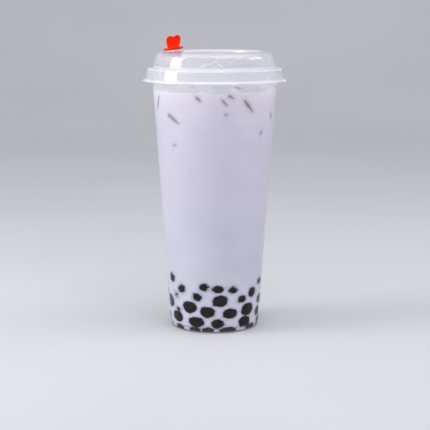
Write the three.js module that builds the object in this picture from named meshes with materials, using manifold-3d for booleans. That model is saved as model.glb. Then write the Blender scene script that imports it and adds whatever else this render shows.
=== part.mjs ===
import * as THREE from "three";
import { mergeVertices } from "three/addons/utils/BufferGeometryUtils.js";
import Module from "manifold-3d";

// Taro bubble tea in a tall clear plastic cup with a push-on lid and a heart stopper.
// Millimetres, +Z up. The cup stands on z = 0 and its axis is the Z axis. The front,
// with the stopper to its left, faces -Y. Azimuths run in degrees from the front
// towards +X.

// Cup
const RIM_RADIUS = 45;
const CUP_HEIGHT = 176.4;
const WALL = 0.8;
const BEAD_BOTTOM = 173.4;
const STEP_HEIGHT = 3.9;
const WALL_RADIUS_AT_STEP = 30.46;
const WALL_SLOPE = 0.0705;
const FOOT_RADIUS = 29.9;
const FOOT_RING_WIDTH = 2.4;
const FOOT_RECESS = 0.3;
const FLOOR_TOP = 1.0;

// Lid
const LID_SHEET = 0.7;
const LIP_RADIUS = 48.1;
const LIP_HEIGHT = 168.1;
const SKIRT_BOTTOM = [46.8, 170.1];
const SKIRT_TOP = [45.9, 175.8];
const LEDGE_HEIGHT = 177.4;
const DOME_BOTTOM = [41.4, 178.3];
const DOME_TOP = [40.4, 184.2];
const PLATEAU_HEIGHT = 188.2;
const PLATEAU_RADIUS = 35;
const PANEL_RADIUS = 29.6;
const PANEL_HEIGHT = 184.7;
const SHOULDER_STEPS = 3;

// Stopper and the collar that it plugs
const COLLAR_X = -27.7;
const COLLAR_SLOPE = 0.128;
const COLLAR_RADIUS = 6.9;
const COLLAR_BORE = 5.7;
const COLLAR_HEIGHT = 4.4;
const COLLAR_ROOT = -0.5;
const PLUG_RADIUS = 5.4;
const PLUG_WAIST = 4.7;
const FLANGE_RADIUS = 6.65;
const FLANGE_THICKNESS = 1.2;
const HEART_HALF_WIDTH = 4.8;
const HEART_HALF_BASE = 4.0;
const HEART_HEIGHT = 8.0;
const HEART_NOTCH = 1.3;
const HEART_THICKNESS = 2.4;
const HEART_BEVEL = 0.5;

// Drink, tapioca pearls and ice
const MILK_LEVEL = 161.8;
const DRINK_BOTTOM = 30.5;
const PEARL_RADIUS = 5.0;
const PEARL_HEIGHT_RATIO = 0.8;
const FLOOR_PEARL_HALF_HEIGHT = 2.3;
const PEARL_BACK = 0.8;
const PEARL_SIDES = 6;
const CORE_DEPTH = 4;
const CORE_SHOULDER = 27;
const CORE_TOP = 36.5;
const TOP_RINGS = [{ radius: 17.5, count: 8 }, { radius: 6.5, count: 4 }];
const CUBE_SIZE = 18;
const CUBE_ROUNDING = 2.4;
const CUBE_COUNT = 7;
const CUBE_RING_RADIUS = 27.2;
const FIRST_CUBE_AZIMUTH = -45;

// Room between pieces that touch, and how finely round shapes are cut
const GAP = 0.3;
const ROUND_STEPS = 40;
const SMALL_ROUND_STEPS = 24;
const DRINK_SEED = 7;

// The pearls that press on the front of the wall, row by row from the floor up:
// azimuth in degrees, height and width of the pressed spot in mm. The pitch, in
// degrees, carries each row on round the back.
const PEARL_ROWS = [
  { pitch: 28, spots: [[-53, 2.7, 7], [-26, 2.7, 9], [-9, 2.7, 8], [18, 2.7, 9.5], [55, 2.7, 9], [80, 2.7, 8]] },
  { pitch: 29, spots: [[-55, 10, 9], [-24, 8, 9.5], [4, 7, 8.5], [42, 7, 9], [79, 5, 9]] },
  { pitch: 28, spots: [[-73, 19, 9], [-33, 18, 9.5], [-9, 15, 9], [20, 14, 9.5], [46, 15, 9.5], [70, 12, 8]] },
  { pitch: 28, spots: [[-55, 25, 3], [-22, 25, 6.5], [7, 23, 9.5], [36, 23, 6.5], [78, 20, 9]] },
  { pitch: 28, spots: [[-63, 36, 6], [-44, 30, 6.5], [-13, 33, 6], [4, 31, 7.5], [23, 30, 6], [53, 27, 7], [71, 33, 5], [87, 27, 6]] },
];

const wasm = await Module();
wasm.setup();

// A seeded draw between two values
function makeDraw(seed) {
  let state = seed;
  return (low, high) => {
    state = (Math.imul(state, 1664525) + 1013904223) >>> 0;
    return low + ((high - low) * state) / 4294967296;
  };
}

// Radii of the cup's wall at a height
function outerWall(height) {
  return WALL_RADIUS_AT_STEP + WALL_SLOPE * (height - STEP_HEIGHT);
}

function innerWall(height) {
  return outerWall(height) - WALL;
}

// Closed meshes with shared vertices, and the solids that join and cut
function weld(geometry) {
  geometry.deleteAttribute("normal");
  geometry.deleteAttribute("uv");
  const merged = mergeVertices(geometry, 1e-4);
  const corners = merged.index.array;
  const kept = [];
  for (let i = 0; i < corners.length; i += 3) {
    const [a, b, c] = corners.slice(i, i + 3);
    if (a !== b && b !== c && c !== a) {
      kept.push(a, b, c);
    }
  }
  merged.setIndex(kept);
  return merged;
}

function toSolid(geometry) {
  const merged = weld(geometry);
  return new wasm.Manifold(new wasm.Mesh({
    numProp: 3,
    vertProperties: new Float32Array(merged.attributes.position.array),
    triVerts: new Uint32Array(merged.index.array),
  }));
}

function fromSolid(solid) {
  const mesh = solid.getMesh();
  const geometry = new THREE.BufferGeometry();
  geometry.setAttribute("position", new THREE.BufferAttribute(mesh.vertProperties, 3));
  geometry.setIndex(new THREE.BufferAttribute(mesh.triVerts, 1));
  return geometry;
}

// The largest shell of a cut solid, without loose scraps
function largestShell(geometry) {
  const merged = mergeVertices(geometry, 1e-4);
  const corners = merged.index.array;
  const parent = Array.from({ length: merged.attributes.position.count }, (_, i) => i);
  const root = (i) => {
    while (parent[i] !== i) {
      parent[i] = parent[parent[i]];
      i = parent[i];
    }
    return i;
  };
  for (let i = 0; i < corners.length; i += 3) {
    parent[root(corners[i])] = root(corners[i + 1]);
    parent[root(corners[i + 1])] = root(corners[i + 2]);
  }
  const shells = new Map();
  for (let i = 0; i < corners.length; i += 3) {
    const key = root(corners[i]);
    shells.set(key, [...(shells.get(key) ?? []), corners[i], corners[i + 1], corners[i + 2]]);
  }
  const largest = [...shells.values()].sort((a, b) => b.length - a.length)[0];
  merged.setIndex(largest);
  return merged;
}

// A body of revolution about Z from [radius, height] points
function turned(points, steps) {
  const profile = points.map(([radius, height]) => new THREE.Vector2(radius, height));
  return new THREE.LatheGeometry(profile, steps).rotateX(Math.PI / 2);
}

// Points of a quarter ellipse from one profile point to another, bulging outwards
function shoulder([fromRadius, fromHeight], [toRadius, toHeight], steps) {
  const points = [];
  for (let i = 1; i < steps; i += 1) {
    const angle = (Math.PI / 2) * (i / steps);
    points.push([
      fromRadius + (toRadius - fromRadius) * Math.sin(angle),
      toHeight + (fromHeight - toHeight) * Math.cos(angle),
    ]);
  }
  return points;
}

// The cup: a ring foot under a recessed floor, a small step, a straight tapering
// wall and a thick rim bead
function cup() {
  const ringInner = FOOT_RADIUS - 0.9 - FOOT_RING_WIDTH;
  return turned([
    [0, FOOT_RECESS],
    [ringInner - 0.5, FOOT_RECESS],
    [ringInner, 0],
    [FOOT_RADIUS - 0.9, 0],
    [FOOT_RADIUS - 0.2, 0.7],
    [FOOT_RADIUS, STEP_HEIGHT - 0.5],
    [outerWall(STEP_HEIGHT), STEP_HEIGHT],
    [outerWall(BEAD_BOTTOM), BEAD_BOTTOM],
    [RIM_RADIUS - 0.4, BEAD_BOTTOM],
    [RIM_RADIUS, BEAD_BOTTOM + 0.4],
    [RIM_RADIUS, CUP_HEIGHT - 0.9],
    [RIM_RADIUS - 0.7, CUP_HEIGHT],
    [innerWall(CUP_HEIGHT) + 0.7, CUP_HEIGHT],
    [innerWall(CUP_HEIGHT) + 0.1, CUP_HEIGHT - 0.6],
    [innerWall(BEAD_BOTTOM), BEAD_BOTTOM],
    [innerWall(STEP_HEIGHT), STEP_HEIGHT + 0.3],
    [FOOT_RADIUS - WALL, STEP_HEIGHT - 0.4],
    [FOOT_RADIUS - WALL - 0.3, FLOOR_TOP + 0.9],
    [FOOT_RADIUS - WALL - 1.3, FLOOR_TOP],
    [0, FLOOR_TOP],
  ], ROUND_STEPS);
}

// The lid: a sunk top panel, a raised ring round it, a dome wall, a ledge over the
// cup's rim and a skirt that flares into a lip. The collar stands on the panel.
function lid() {
  const outside = [
    [0, PANEL_HEIGHT],
    [PANEL_RADIUS, PANEL_HEIGHT],
    [PANEL_RADIUS + 1.4, PANEL_HEIGHT + 0.9],
    [PANEL_RADIUS + 1.7, PLATEAU_HEIGHT - 0.8],
    [PANEL_RADIUS + 2.6, PLATEAU_HEIGHT],
    [PLATEAU_RADIUS, PLATEAU_HEIGHT],
    ...shoulder([PLATEAU_RADIUS, PLATEAU_HEIGHT], DOME_TOP, SHOULDER_STEPS),
    DOME_TOP,
    DOME_BOTTOM,
    [DOME_BOTTOM[0] + 0.9, LEDGE_HEIGHT],
    [SKIRT_TOP[0] - 1.8, LEDGE_HEIGHT],
    [SKIRT_TOP[0] - 0.6, LEDGE_HEIGHT - 0.5],
    SKIRT_TOP,
    SKIRT_BOTTOM,
    [SKIRT_BOTTOM[0] + 0.5, SKIRT_BOTTOM[1] - 1.1],
    [LIP_RADIUS, LIP_HEIGHT + 0.6],
    [LIP_RADIUS, LIP_HEIGHT],
  ];
  const innerPlateau = [PLATEAU_RADIUS, PLATEAU_HEIGHT - LID_SHEET];
  const innerDomeTop = [DOME_TOP[0] - LID_SHEET, DOME_TOP[1]];
  const inside = [
    [LIP_RADIUS - 0.8, LIP_HEIGHT],
    [SKIRT_BOTTOM[0] - 0.2, SKIRT_BOTTOM[1] - 1.1],
    [SKIRT_BOTTOM[0] - LID_SHEET, SKIRT_BOTTOM[1]],
    [SKIRT_TOP[0] - LID_SHEET + 0.15, SKIRT_TOP[1] - 0.2],
    [SKIRT_TOP[0] - 1.5, LEDGE_HEIGHT - LID_SHEET],
    [DOME_BOTTOM[0] + 0.2, LEDGE_HEIGHT - LID_SHEET],
    [DOME_BOTTOM[0] - LID_SHEET, DOME_BOTTOM[1] - 0.4],
    innerDomeTop,
    ...shoulder(innerPlateau, innerDomeTop, SHOULDER_STEPS).reverse(),
    innerPlateau,
    [PANEL_RADIUS + 2.9, PLATEAU_HEIGHT - LID_SHEET],
    [PANEL_RADIUS + 2.4, PLATEAU_HEIGHT - LID_SHEET - 0.5],
    [PANEL_RADIUS + 1.7, PANEL_HEIGHT],
    [PANEL_RADIUS + 0.4, PANEL_HEIGHT - LID_SHEET],
    [0, PANEL_HEIGHT - LID_SHEET],
  ];
  const shell = toSolid(turned([...outside, ...inside].reverse(), ROUND_STEPS));
  const collar = sloped(turned([
    [0, COLLAR_ROOT],
    [COLLAR_RADIUS, COLLAR_ROOT],
    [COLLAR_RADIUS, COLLAR_HEIGHT - 0.3],
    [COLLAR_RADIUS - 0.3, COLLAR_HEIGHT],
    [0, COLLAR_HEIGHT],
  ], SMALL_ROUND_STEPS));
  const bore = sloped(turned([
    [0, COLLAR_ROOT - 4],
    [COLLAR_BORE, COLLAR_ROOT - 4],
    [COLLAR_BORE, COLLAR_HEIGHT + 4],
    [0, COLLAR_HEIGHT + 4],
  ], SMALL_ROUND_STEPS));
  return largestShell(fromSolid(shell.add(toSolid(collar)).subtract(toSolid(bore))));
}

// Moves a shape from the Z axis into the collar, which stands upright on the top panel
// and whose rim slopes up towards the middle of the lid
function sloped(geometry) {
  const points = geometry.attributes.position;
  for (let i = 0; i < points.count; i += 1) {
    const share = THREE.MathUtils.clamp(points.getZ(i) / COLLAR_HEIGHT, 0, 1);
    points.setZ(i, points.getZ(i) + COLLAR_SLOPE * points.getX(i) * share);
  }
  return geometry.translate(COLLAR_X, 0, PANEL_HEIGHT);
}

// The stopper: a plug with two sealing rings, a round flange and a flat heart
function heartOutline() {
  const side = HEART_HALF_WIDTH;
  const lobe = HEART_HALF_WIDTH * 0.5;
  const outline = new THREE.Shape();
  outline.moveTo(-HEART_HALF_BASE, -0.4);
  outline.bezierCurveTo(-HEART_HALF_BASE, 1.5, -side, 3, -side, 5.2);
  outline.bezierCurveTo(-side, 7.2, -lobe - 1.2, HEART_HEIGHT, -lobe, HEART_HEIGHT);
  outline.bezierCurveTo(-lobe + 1.2, HEART_HEIGHT, -0.4, HEART_HEIGHT - 0.7, 0, HEART_HEIGHT - HEART_NOTCH);
  outline.bezierCurveTo(0.4, HEART_HEIGHT - 0.7, lobe - 1.2, HEART_HEIGHT, lobe, HEART_HEIGHT);
  outline.bezierCurveTo(lobe + 1.2, HEART_HEIGHT, side, 7.2, side, 5.2);
  outline.bezierCurveTo(side, 3, HEART_HALF_BASE, 1.5, HEART_HALF_BASE, -0.4);
  outline.closePath();
  return outline;
}

function stopper() {
  const flangeBottom = COLLAR_HEIGHT + GAP;
  const flangeTop = flangeBottom + FLANGE_THICKNESS;
  const plug = toSolid(turned([
    [0, -0.3],
    [PLUG_WAIST, -0.3],
    [PLUG_RADIUS, 0.2],
    [PLUG_RADIUS, 1.0],
    [PLUG_WAIST, 1.5],
    [PLUG_WAIST, 2.7],
    [PLUG_RADIUS, 3.2],
    [PLUG_RADIUS, 4.1],
    [PLUG_WAIST, 4.5],
    [PLUG_WAIST, flangeBottom],
    [FLANGE_RADIUS - 0.2, flangeBottom],
    [FLANGE_RADIUS, flangeBottom + 0.3],
    [FLANGE_RADIUS, flangeTop - 0.3],
    [FLANGE_RADIUS - 0.3, flangeTop],
    [0, flangeTop],
  ], SMALL_ROUND_STEPS));
  const heart = new THREE.ExtrudeGeometry(heartOutline(), {
    depth: HEART_THICKNESS - 2 * HEART_BEVEL,
    bevelEnabled: true,
    bevelThickness: HEART_BEVEL,
    bevelSize: HEART_BEVEL,
    bevelOffset: -HEART_BEVEL,
    bevelSegments: 1,
    curveSegments: 5,
  });
  heart.translate(0, 0, HEART_BEVEL - HEART_THICKNESS / 2);
  heart.rotateX(Math.PI / 2).translate(0, 0, flangeTop);
  return sloped(fromSolid(plug.add(toSolid(heart))));
}

// Every pearl that shows: the front ones as placed, the rest of each row at its pitch
function pearlPlaces() {
  const draw = makeDraw(DRINK_SEED);
  const places = [];
  PEARL_ROWS.forEach(({ pitch, spots }, row) => {
    const onFloor = row === 0;
    const first = spots[0];
    const last = spots[spots.length - 1];
    const room = 360 + first[0] - last[0];
    const count = Math.round(room / pitch) - 1;
    const middle = spots.reduce((sum, spot) => sum + spot[1], 0) / spots.length;
    spots.forEach(([azimuth, height, width]) => places.push({ azimuth, height, width, onFloor }));
    for (let i = 1; i <= count; i += 1) {
      places.push({
        azimuth: last[0] + (room * i) / (count + 1) + draw(-3, 3),
        height: onFloor ? middle : middle + draw(-1.8, 1.8),
        width: draw(6, 9.5),
        onFloor,
      });
    }
  });
  return places;
}

// A round-backed pearl about Z, cut flat where it is pressed
function pearlShape(pressed, depth, radius) {
  const middle = Math.atan2(depth, pressed) / 2;
  return turned([
    [0, -PEARL_BACK * radius],
    [radius, 0],
    [radius * Math.cos(middle), radius * Math.sin(middle)],
    [pressed, depth],
    [0, depth],
  ], PEARL_SIDES);
}

// A soft pearl that presses flat against the wall
function wallPearl({ azimuth, height, width, onFloor }, grow) {
  const pressed = width / 2 + grow;
  const radius = PEARL_RADIUS + grow;
  const depth = Math.sqrt(radius ** 2 - pressed ** 2);
  const tall = (onFloor ? FLOOR_PEARL_HALF_HEIGHT + grow : radius * PEARL_HEIGHT_RATIO) / radius;
  const geometry = pearlShape(pressed, depth, radius).rotateX(Math.PI / 2).scale(1, 1, tall);
  geometry.translate(0, depth - innerWall(height), 0);
  geometry.rotateZ(THREE.MathUtils.degToRad(azimuth)).translate(0, 0, height);
  const points = geometry.attributes.position;
  const point = new THREE.Vector3();
  for (let i = 0; i < points.count; i += 1) {
    point.fromBufferAttribute(points, i);
    const out = Math.hypot(point.x, point.y);
    const pull = Math.min(1, (wallLimit(point.z) + 2 * grow) / out);
    points.setXYZ(i, point.x * pull, point.y * pull, Math.max(point.z, FLOOR_TOP + GAP));
  }
  return toSolid(geometry);
}

// The pearls that make the top of the heap uneven
function topPearls(grow) {
  const draw = makeDraw(DRINK_SEED + 2);
  const radius = PEARL_RADIUS + grow;
  return TOP_RINGS.flatMap((ring) => Array.from({ length: ring.count }, (_, i) => {
    const azimuth = ((i + draw(-0.15, 0.15)) * 2 * Math.PI) / ring.count;
    const shape = pearlShape(radius * 0.4, radius * 0.9, radius).scale(1, 1, PEARL_HEIGHT_RATIO);
    return toSolid(shape.translate(
      ring.radius * Math.sin(azimuth),
      -ring.radius * Math.cos(azimuth),
      CORE_TOP + draw(-1.5, 1),
    ));
  }));
}

// How far out the cup's contents may reach at a height
function wallLimit(height) {
  const footTop = STEP_HEIGHT + 0.4;
  const room = height < footTop ? FOOT_RADIUS - WALL - 0.5 : innerWall(height);
  return room / Math.cos(Math.PI / ROUND_STEPS) - 2 * GAP;
}

// The heap of pearls round a plain core, out to where they press on the wall
function heapCore(grow) {
  return toSolid(turned([
    [0, FLOOR_TOP + GAP - grow],
    [FOOT_RADIUS - WALL - CORE_DEPTH + grow, FLOOR_TOP + GAP - grow],
    [innerWall(CORE_SHOULDER) - CORE_DEPTH + grow, CORE_SHOULDER],
    [innerWall(CORE_SHOULDER) - CORE_DEPTH - 0.8 + grow, CORE_TOP - 3],
    [innerWall(CORE_SHOULDER) - CORE_DEPTH - 2.2 + grow, CORE_TOP - 0.5 + grow],
    [0, CORE_TOP + grow],
  ], SMALL_ROUND_STEPS));
}

function pearlHeap(grow) {
  const pearls = [...pearlPlaces().map((place) => wallPearl(place, grow)), ...topPearls(grow)];
  return pearls.reduce((heap, pearl) => heap.add(pearl), heapCore(grow));
}

// A partly melted ice cube with rounded edges
function iceCube(size) {
  const half = size / 2;
  const geometry = new THREE.BoxGeometry(size, size, size, 3, 3, 3);
  const points = geometry.attributes.position;
  const point = new THREE.Vector3();
  const inner = new THREE.Vector3();
  const flat = half - CUBE_ROUNDING;
  for (let i = 0; i < points.count; i += 1) {
    point.fromBufferAttribute(points, i);
    ["x", "y", "z"].forEach((axis) => {
      point[axis] = Math.abs(point[axis]) < half * 0.9 ? Math.sign(point[axis]) * flat : point[axis];
      inner[axis] = THREE.MathUtils.clamp(point[axis], -flat, flat);
    });
    point.sub(inner).setLength(CUBE_ROUNDING).add(inner);
    points.setXYZ(i, point.x, point.y, point.z);
  }
  return geometry;
}

// Ice cubes that float in a ring, with one in the middle, each turned at random
function cubePlaces() {
  const draw = makeDraw(DRINK_SEED + 1);
  const places = [];
  for (let i = 0; i <= CUBE_COUNT; i += 1) {
    const azimuth = THREE.MathUtils.degToRad(FIRST_CUBE_AZIMUTH + (360 * i) / CUBE_COUNT);
    const radius = i < CUBE_COUNT ? CUBE_RING_RADIUS : 0;
    places.push({
      name: `ice_${i + 1}`,
      position: new THREE.Vector3(
        radius * Math.sin(azimuth),
        -radius * Math.cos(azimuth),
        MILK_LEVEL - draw(5, 7.5),
      ),
      rotation: new THREE.Euler(draw(-0.3, 0.3), draw(-0.3, 0.3), draw(-0.5, 0.5) - azimuth),
    });
  }
  return places;
}

function placedCube({ position, rotation }, grow) {
  const turn = new THREE.Matrix4().makeRotationFromEuler(rotation);
  return iceCube(CUBE_SIZE + 2 * grow).applyMatrix4(turn).translate(...position.toArray());
}

// The drink up to its level, cut round the pearls and the ice
function drink() {
  const side = GAP / Math.cos(Math.PI / ROUND_STEPS);
  const body = toSolid(turned([
    [0, DRINK_BOTTOM],
    [innerWall(DRINK_BOTTOM) - side, DRINK_BOTTOM],
    [innerWall(MILK_LEVEL) - side, MILK_LEVEL],
    [0, MILK_LEVEL],
  ], ROUND_STEPS));
  const poured = cubePlaces().reduce(
    (solid, place) => solid.subtract(toSolid(placedCube(place, GAP))),
    body.subtract(pearlHeap(GAP)),
  );
  return largestShell(fromSolid(poured));
}

// Materials
const clearPlastic = { color: 0xe9ecf2, roughness: 0.15, metalness: 0, transparent: true, opacity: 0.35 };
const orangePlastic = { color: 0xf2280a, roughness: 0.35, metalness: 0 };
const taroMilk = { color: 0xd0cde3, roughness: 0.4, metalness: 0 };
const tapioca = { color: 0x221a18, roughness: 0.25, metalness: 0 };
const ice = { color: 0xdfe3ea, roughness: 0.1, metalness: 0, transparent: true, opacity: 0.5 };

function piece(name, geometry, look) {
  const mesh = new THREE.Mesh(geometry, new THREE.MeshStandardMaterial(look));
  mesh.name = name;
  return mesh;
}

const bubbleTea = new THREE.Group();
bubbleTea.add(piece("cup", cup(), clearPlastic));
bubbleTea.add(piece("lid", lid(), clearPlastic));
bubbleTea.add(piece("stopper", stopper(), orangePlastic));
bubbleTea.add(piece("drink", drink(), taroMilk));
bubbleTea.add(piece("pearls", largestShell(fromSolid(pearlHeap(0))), tapioca));
cubePlaces().forEach((place) => {
  bubbleTea.add(piece(place.name, placedCube(place, 0), ice));
});

export default bubbleTea;
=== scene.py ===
import math

import bmesh
import bpy
import numpy as np
from mathutils import Matrix, Vector, noise
from mathutils.kdtree import KDTree


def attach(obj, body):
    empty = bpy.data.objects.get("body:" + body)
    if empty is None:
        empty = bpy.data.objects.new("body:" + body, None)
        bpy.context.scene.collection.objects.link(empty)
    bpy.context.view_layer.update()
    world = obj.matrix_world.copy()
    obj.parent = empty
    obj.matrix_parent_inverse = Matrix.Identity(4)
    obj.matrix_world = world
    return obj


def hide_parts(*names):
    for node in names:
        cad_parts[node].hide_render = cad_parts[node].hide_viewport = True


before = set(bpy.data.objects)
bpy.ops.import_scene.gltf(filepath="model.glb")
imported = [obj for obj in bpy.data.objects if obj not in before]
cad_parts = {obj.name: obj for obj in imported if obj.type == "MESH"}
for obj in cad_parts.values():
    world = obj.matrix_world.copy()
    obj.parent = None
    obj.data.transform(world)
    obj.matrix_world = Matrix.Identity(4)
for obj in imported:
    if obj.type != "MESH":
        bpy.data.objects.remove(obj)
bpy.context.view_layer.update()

# Sizes are in millimetres and become metres where a mesh is made. The cup stands on
# z = 0 on the Z axis, its front faces -Y, and azimuths run in degrees from the front
# towards +X. A profile is a list of (radius, height), and a third number at one of its
# corners is the radius of the fillet there.
MM = 0.001

# Cup
RIM_RADIUS = 45.0
CUP_HEIGHT = 176.4
WALL = 0.8
BEAD_BOTTOM = 173.4
STEP_HEIGHT = 3.9
WALL_RADIUS_AT_STEP = 30.46
WALL_SLOPE = 0.0705
FOOT_RADIUS = 29.9
FOOT_RING_INNER = 26.6
FOOT_RECESS = 0.3
FLOOR_TOP = 1.0
FLOOR_CORNER_HEIGHT = 1.3
FLOOR_CORNER_WIDTH = 1.0
STEP_START = STEP_HEIGHT - 0.4
STEP_RISE = 0.7

# Rows of the cup's mesh: how close they are at the foot and near the milk's level, how
# far that band reaches from the level, and how many close rows make a plain one
CLOSE_ROW = 0.4
CLOSE_BAND = 1.5
PLAIN_ROW = 30

# Milkiness of the cup, from 0 for clear to 1 for white
FOOT_CLOUD = 0.35
HEADSPACE_CLOUD = 0.28
WALL_CLOUD = 0.006
STEP_CLOUD = 0.05
STEP_LINE_REACH = 0.5
BELOW_STEP_CLOUD = 0.06

# Lid, by the middle of its sheet
LID_SHEET = 0.7
PANEL_MIDDLE = 184.35
PANEL_EDGE = 30.7
PLATEAU_MIDDLE = 187.85
PLATEAU_INNER = 31.9
PLATEAU_OUTER = 39.45
SHOULDER_FILLET = 5.2
DOME_FOOT = 41.1
LEDGE_MIDDLE = 177.05
LEDGE_INNER = 41.9
LEDGE_OUTER = 45.25
SKIRT_BOTTOM = (46.3, 170.1, 0.8)
LIP = (48.35, 168.75)
LID_STRETCH = 1.2
FILLET_STEPS = 10

# The chevron moulded on the front of the dome: its lines, by how far across the dome
# and how high their ends are, and then the part of the dome that can carry it. Its
# reach, like that of the fine columns, is in radians to each side of the front.
CHEVRON_LINES = [
    ((0.3, 182.6), (-7.2, 179.0)),
    ((0.3, 182.6), (5.4, 179.2)),
    ((-5.6, 180.9), (-9.4, 179.0)),
]
CHEVRON_RADIUS = 41
CHEVRON_REACH = 0.34
RIB_RELIEF = 0.3
RIB_HALF_WIDTH = 0.42
RIB_ROW_STEP = 0.25
DOME_LOW = 177.8
DOME_HIGH = 184.0
DOME_OUTSIDE = 40.2
FINE_ROWS_LOW = 177.9
FINE_ROWS_HIGH = 184.2
FINE_ROWS_OUTSIDE = 40.5
FINE_COLUMNS_REACH = math.radians(20)
FINE_COLUMNS = 120
PLAIN_COLUMNS = 230

# Milkiness of the lid, and the painted highlights along its lip, ledge, dome foot and raised
# ring, added as milkiness: radius from and to, height from and to, and the added share
LID_CLOUD = 0.24
RIB_CLOUD = 0.4
COLLAR_CLOUD = 0.45
# A painted highlight, a white stripe down the front of the collar: its milkiness, its half width, and the
# Y in mm in front of which it lies
COLLAR_HIGHLIGHT_CLOUD = 0.8
COLLAR_HIGHLIGHT_HALF_WIDTH = 0.8
COLLAR_HIGHLIGHT_FRONT = -6
WINDOW_CLOUD = 0.05
WINDOW_INSET = 0.6
PAINTED_EDGE_HIGHLIGHTS = [
    (0, 50, 160, 169.8, 0.4),
    (44.3, 50, 176, 190, 0.28),
    (41.0, 42.4, 177.0, 178.8, 0.25),
    (31.2, 33.2, 187.0, 190, 0.3),
]

# Place of the collar round the drinking hole, and of the clear wall in front of it
COLLAR_X = -27.7
PANEL_HEIGHT = 184.7
WINDOW_BOTTOM = PANEL_HEIGHT + 1

# Collar, by its heights above the panel
COLLAR_SLOPE = 0.128
COLLAR_RADIUS = 6.9
COLLAR_BORE = 5.7
COLLAR_HEIGHT = 4.4
COLLAR_ROOT = -0.5
COLLAR_MARGIN = 0.3
BORE_BOTTOM = -4.5
BORE_TOP = COLLAR_HEIGHT + 4

# Stopper, by its heights above the panel, and its heart, by its heights above the
# flange
PLUG_FOOT = -0.3
PLUG_TIP_RADIUS = 5.0
PLUG_WAIST = 4.7
RING_RADIUS = 5.6
RING_HEIGHT = 1.0
RING_BEVEL = 0.4
LOW_RING = 1.1
HIGH_RING = 3.3
FLANGE_RADIUS = 6.65
FLANGE_THICKNESS = 1.2
FLANGE_BOTTOM = COLLAR_HEIGHT + 0.3
FLANGE_TOP = FLANGE_BOTTOM + FLANGE_THICKNESS
HEART_HALF_WIDTH = 4.8
HEART_HALF_BASE = 4.0
HEART_HEIGHT = 8.0
HEART_WIDEST = 5.2
LOBE_HANDLE = 1.2
HEART_NOTCH = 1.0
HEART_THICKNESS = 2.4
HEART_FOOT = -0.6
HEART_BORDER = 1.0
HEART_FIELD_DEPTH = 0.18
HEART_FIELD_SLOPE = 0.3
BORDER_STEPS = 8

# Drink, pearls and ice. What lies at the wall reaches a little into it, so that no air
# shows between. Lumps are pairs of how strong and how fine they are.
MILK_LEVEL = 161.8
MILK_INTO_WALL = 0.08
PEARL_INTO_WALL = 0.14
ICE_INTO_WALL = 0.11
DRINK_SEED = 7
PEARL_RADIUS = 5.0
PEARL_HEIGHT_RATIO = 0.8
FLOOR_PEARL_TALLNESS = 4.2
PEARL_MARGIN = 0.3
PEARL_FLOOR_GAP = 0.05
PEARL_AZIMUTH_SPREAD = 3
PEARL_HEIGHT_SPREAD = 1.8
PEARL_WIDTHS = (6, 9.5)
PEARL_LUMPS = [(0.07, 0.33), (0.19, 1.25), (0.09, 2.6)]
CUBE_SIZE = 18.0
CUBE_ROUNDING = 2.6
CUBE_COUNT = 7
CUBE_RING_RADIUS = 27.2
FIRST_CUBE_AZIMUTH = -45
CUBE_SUNK = (5, 7.5)
CUBE_TILT = 0.3
CUBE_TWIST = 0.5
CUBE_CLEARANCE = 0.02
CUBE_LUMPS = (0.035, 0.16)
SLIVER_LENGTH_SHARE = 0.44
SLIVER_WIDTH_SHARE = 0.4
SLIVER_TAPER = 0.7
SLIVER_DEPTH = 2.2
SLIVER_BEHIND_WALL = 0.4
SLIVER_LUMPS = (0.2, 0.5)

# Spans of close and plain rows on the milk's side: height from and to, and spacing
MILK_ROWS = [(FLOOR_TOP, 46, 0.45), (46, 118, 2.5), (118, MILK_LEVEL, 0.6)]

# The milk's rise at the wall: distance inwards from the wall, and height above the level
MENISCUS = [(-MILK_INTO_WALL, 0.6), (0.35, 0.45), (0.9, 0.16), (1.8, 0.03)]

# Painted shade on the milk: how strongly it darkens next to a pearl, a sliver and the
# foot's step, and over how many millimetres that fades. The fall is the power of the
# fading curve, and the band is how far from the wall the painted shade reaches.
PEARL_SHADE = (0.55, 0.6)
SLIVER_SHADE = (0.32, 1.1)
STEP_SHADE = (0.5, 0.5)
BELOW_STEP_SHADE = 0.16
SHADE_FALL = 1.3
SHADE_BAND = 0.6

# Points closer than this, in metres, are merged
MERGE_DISTANCE = 0.00002

# Columns round the turned pieces, and rings and sides of a pearl and of a sliver
ROUND_STEPS = 256
MILK_STEPS = 400
COLLAR_STEPS = 72
STOPPER_STEPS = 96
PEARL_GRID = (28, 52)
SLIVER_GRID = (14, 24)

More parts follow.
